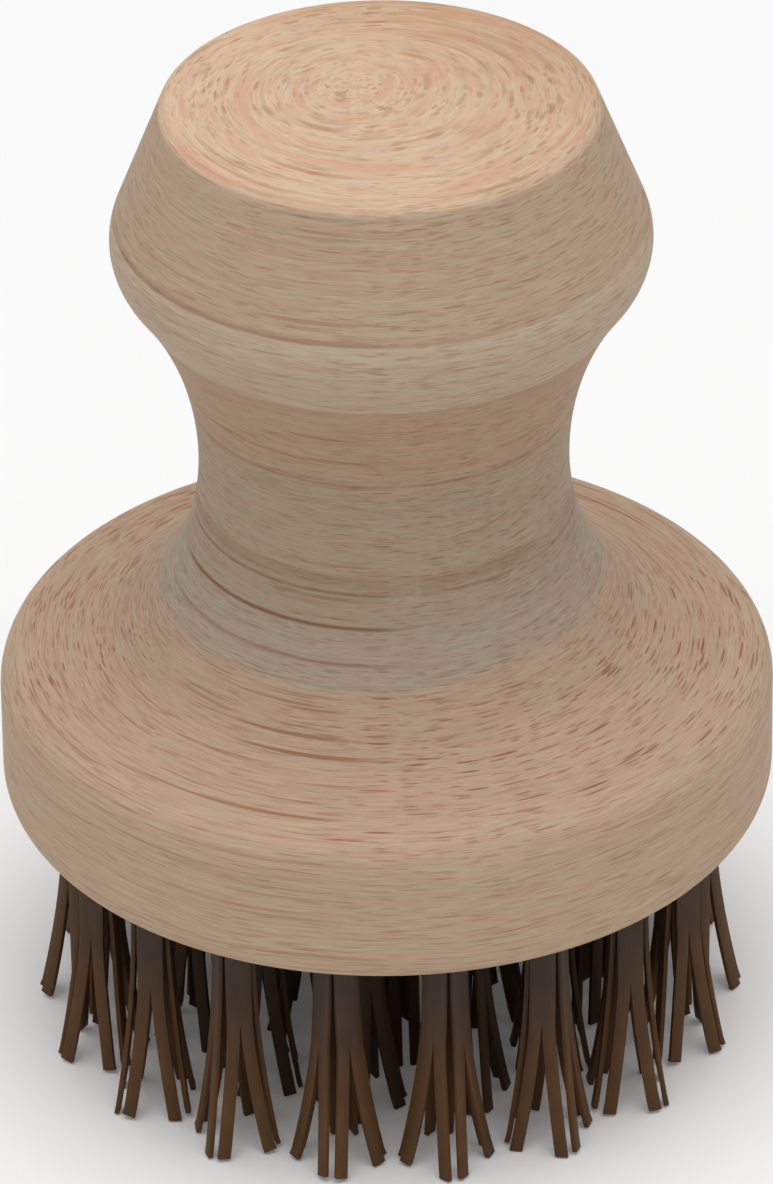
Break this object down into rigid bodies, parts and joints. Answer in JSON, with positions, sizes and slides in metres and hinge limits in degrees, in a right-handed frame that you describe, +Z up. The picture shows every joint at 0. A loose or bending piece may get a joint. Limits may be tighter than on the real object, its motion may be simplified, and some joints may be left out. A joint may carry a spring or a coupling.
{
  "type": "grill brush",
  "caption": "Palm-held grill brush: a turned beech handle with a waisted grip and a broad round base, set with tufts of stiff dark fibre strips.",
  "frame": {"origin": "centre of the plane that the cut bristle tips stand on", "axes": "+Z up along the axis that the handle is turned on, from the bristle tips to the flat top; -Y is the front, as pictured"},
  "size_m": [0.085, 0.085, 0.1132],
  "materials": {
    "beech": "pale steamed beech, turned and sanded, oiled matt, with short reddish-brown flecks running round",
    "fibre": "stiff dark brown plant-fibre strips, dull, greyer at the wood and warmer at the tips",
    "anchor_wire": "flat galvanised wire"
  },
  "bodies": {
    "root": {"handle": "beech", "tuft_outer_01": "fibre", "tuft_outer_02": "fibre", "tuft_outer_03": "fibre", "tuft_outer_04": "fibre", "tuft_outer_05": "fibre", "tuft_outer_06": "fibre", "tuft_outer_07": "fibre", "tuft_outer_08": "fibre", "tuft_outer_09": "fibre", "tuft_outer_10": "fibre", "tuft_outer_11": "fibre", "tuft_outer_12": "fibre", "tuft_outer_13": "fibre", "tuft_outer_14": "fibre", "tuft_outer_15": "fibre", "tuft_outer_16": "fibre", "tuft_outer_17": "fibre", "tuft_outer_18": "fibre", "tuft_middle_01": "fibre", "tuft_middle_02": "fibre", "tuft_middle_03": "fibre", "tuft_middle_04": "fibre", "tuft_middle_05": "fibre", "tuft_middle_06": "fibre", "tuft_middle_07": "fibre", "tuft_middle_08": "fibre", "tuft_middle_09": "fibre", "tuft_middle_10": "fibre", "tuft_middle_11": "fibre", "tuft_middle_12": "fibre", "tuft_inner_01": "fibre", "tuft_inner_02": "fibre", "tuft_inner_03": "fibre", "tuft_inner_04": "fibre", "tuft_inner_05": "fibre", "tuft_inner_06": "fibre", "tuft_centre": "fibre", "anchor_outer_01": "anchor_wire", "anchor_outer_02": "anchor_wire", "anchor_outer_03": "anchor_wire", "anchor_outer_04": "anchor_wire", "anchor_outer_05": "anchor_wire", "anchor_outer_06": "anchor_wire", "anchor_outer_07": "anchor_wire", "anchor_outer_08": "anchor_wire", "anchor_outer_09": "anchor_wire", "anchor_outer_10": "anchor_wire", "anchor_outer_11": "anchor_wire", "anchor_outer_12": "anchor_wire", "anchor_outer_13": "anchor_wire", "anchor_outer_14": "anchor_wire", "anchor_outer_15": "anchor_wire", "anchor_outer_16": "anchor_wire", "anchor_outer_17": "anchor_wire", "anchor_outer_18": "anchor_wire"}
  },
  "joints": []
}
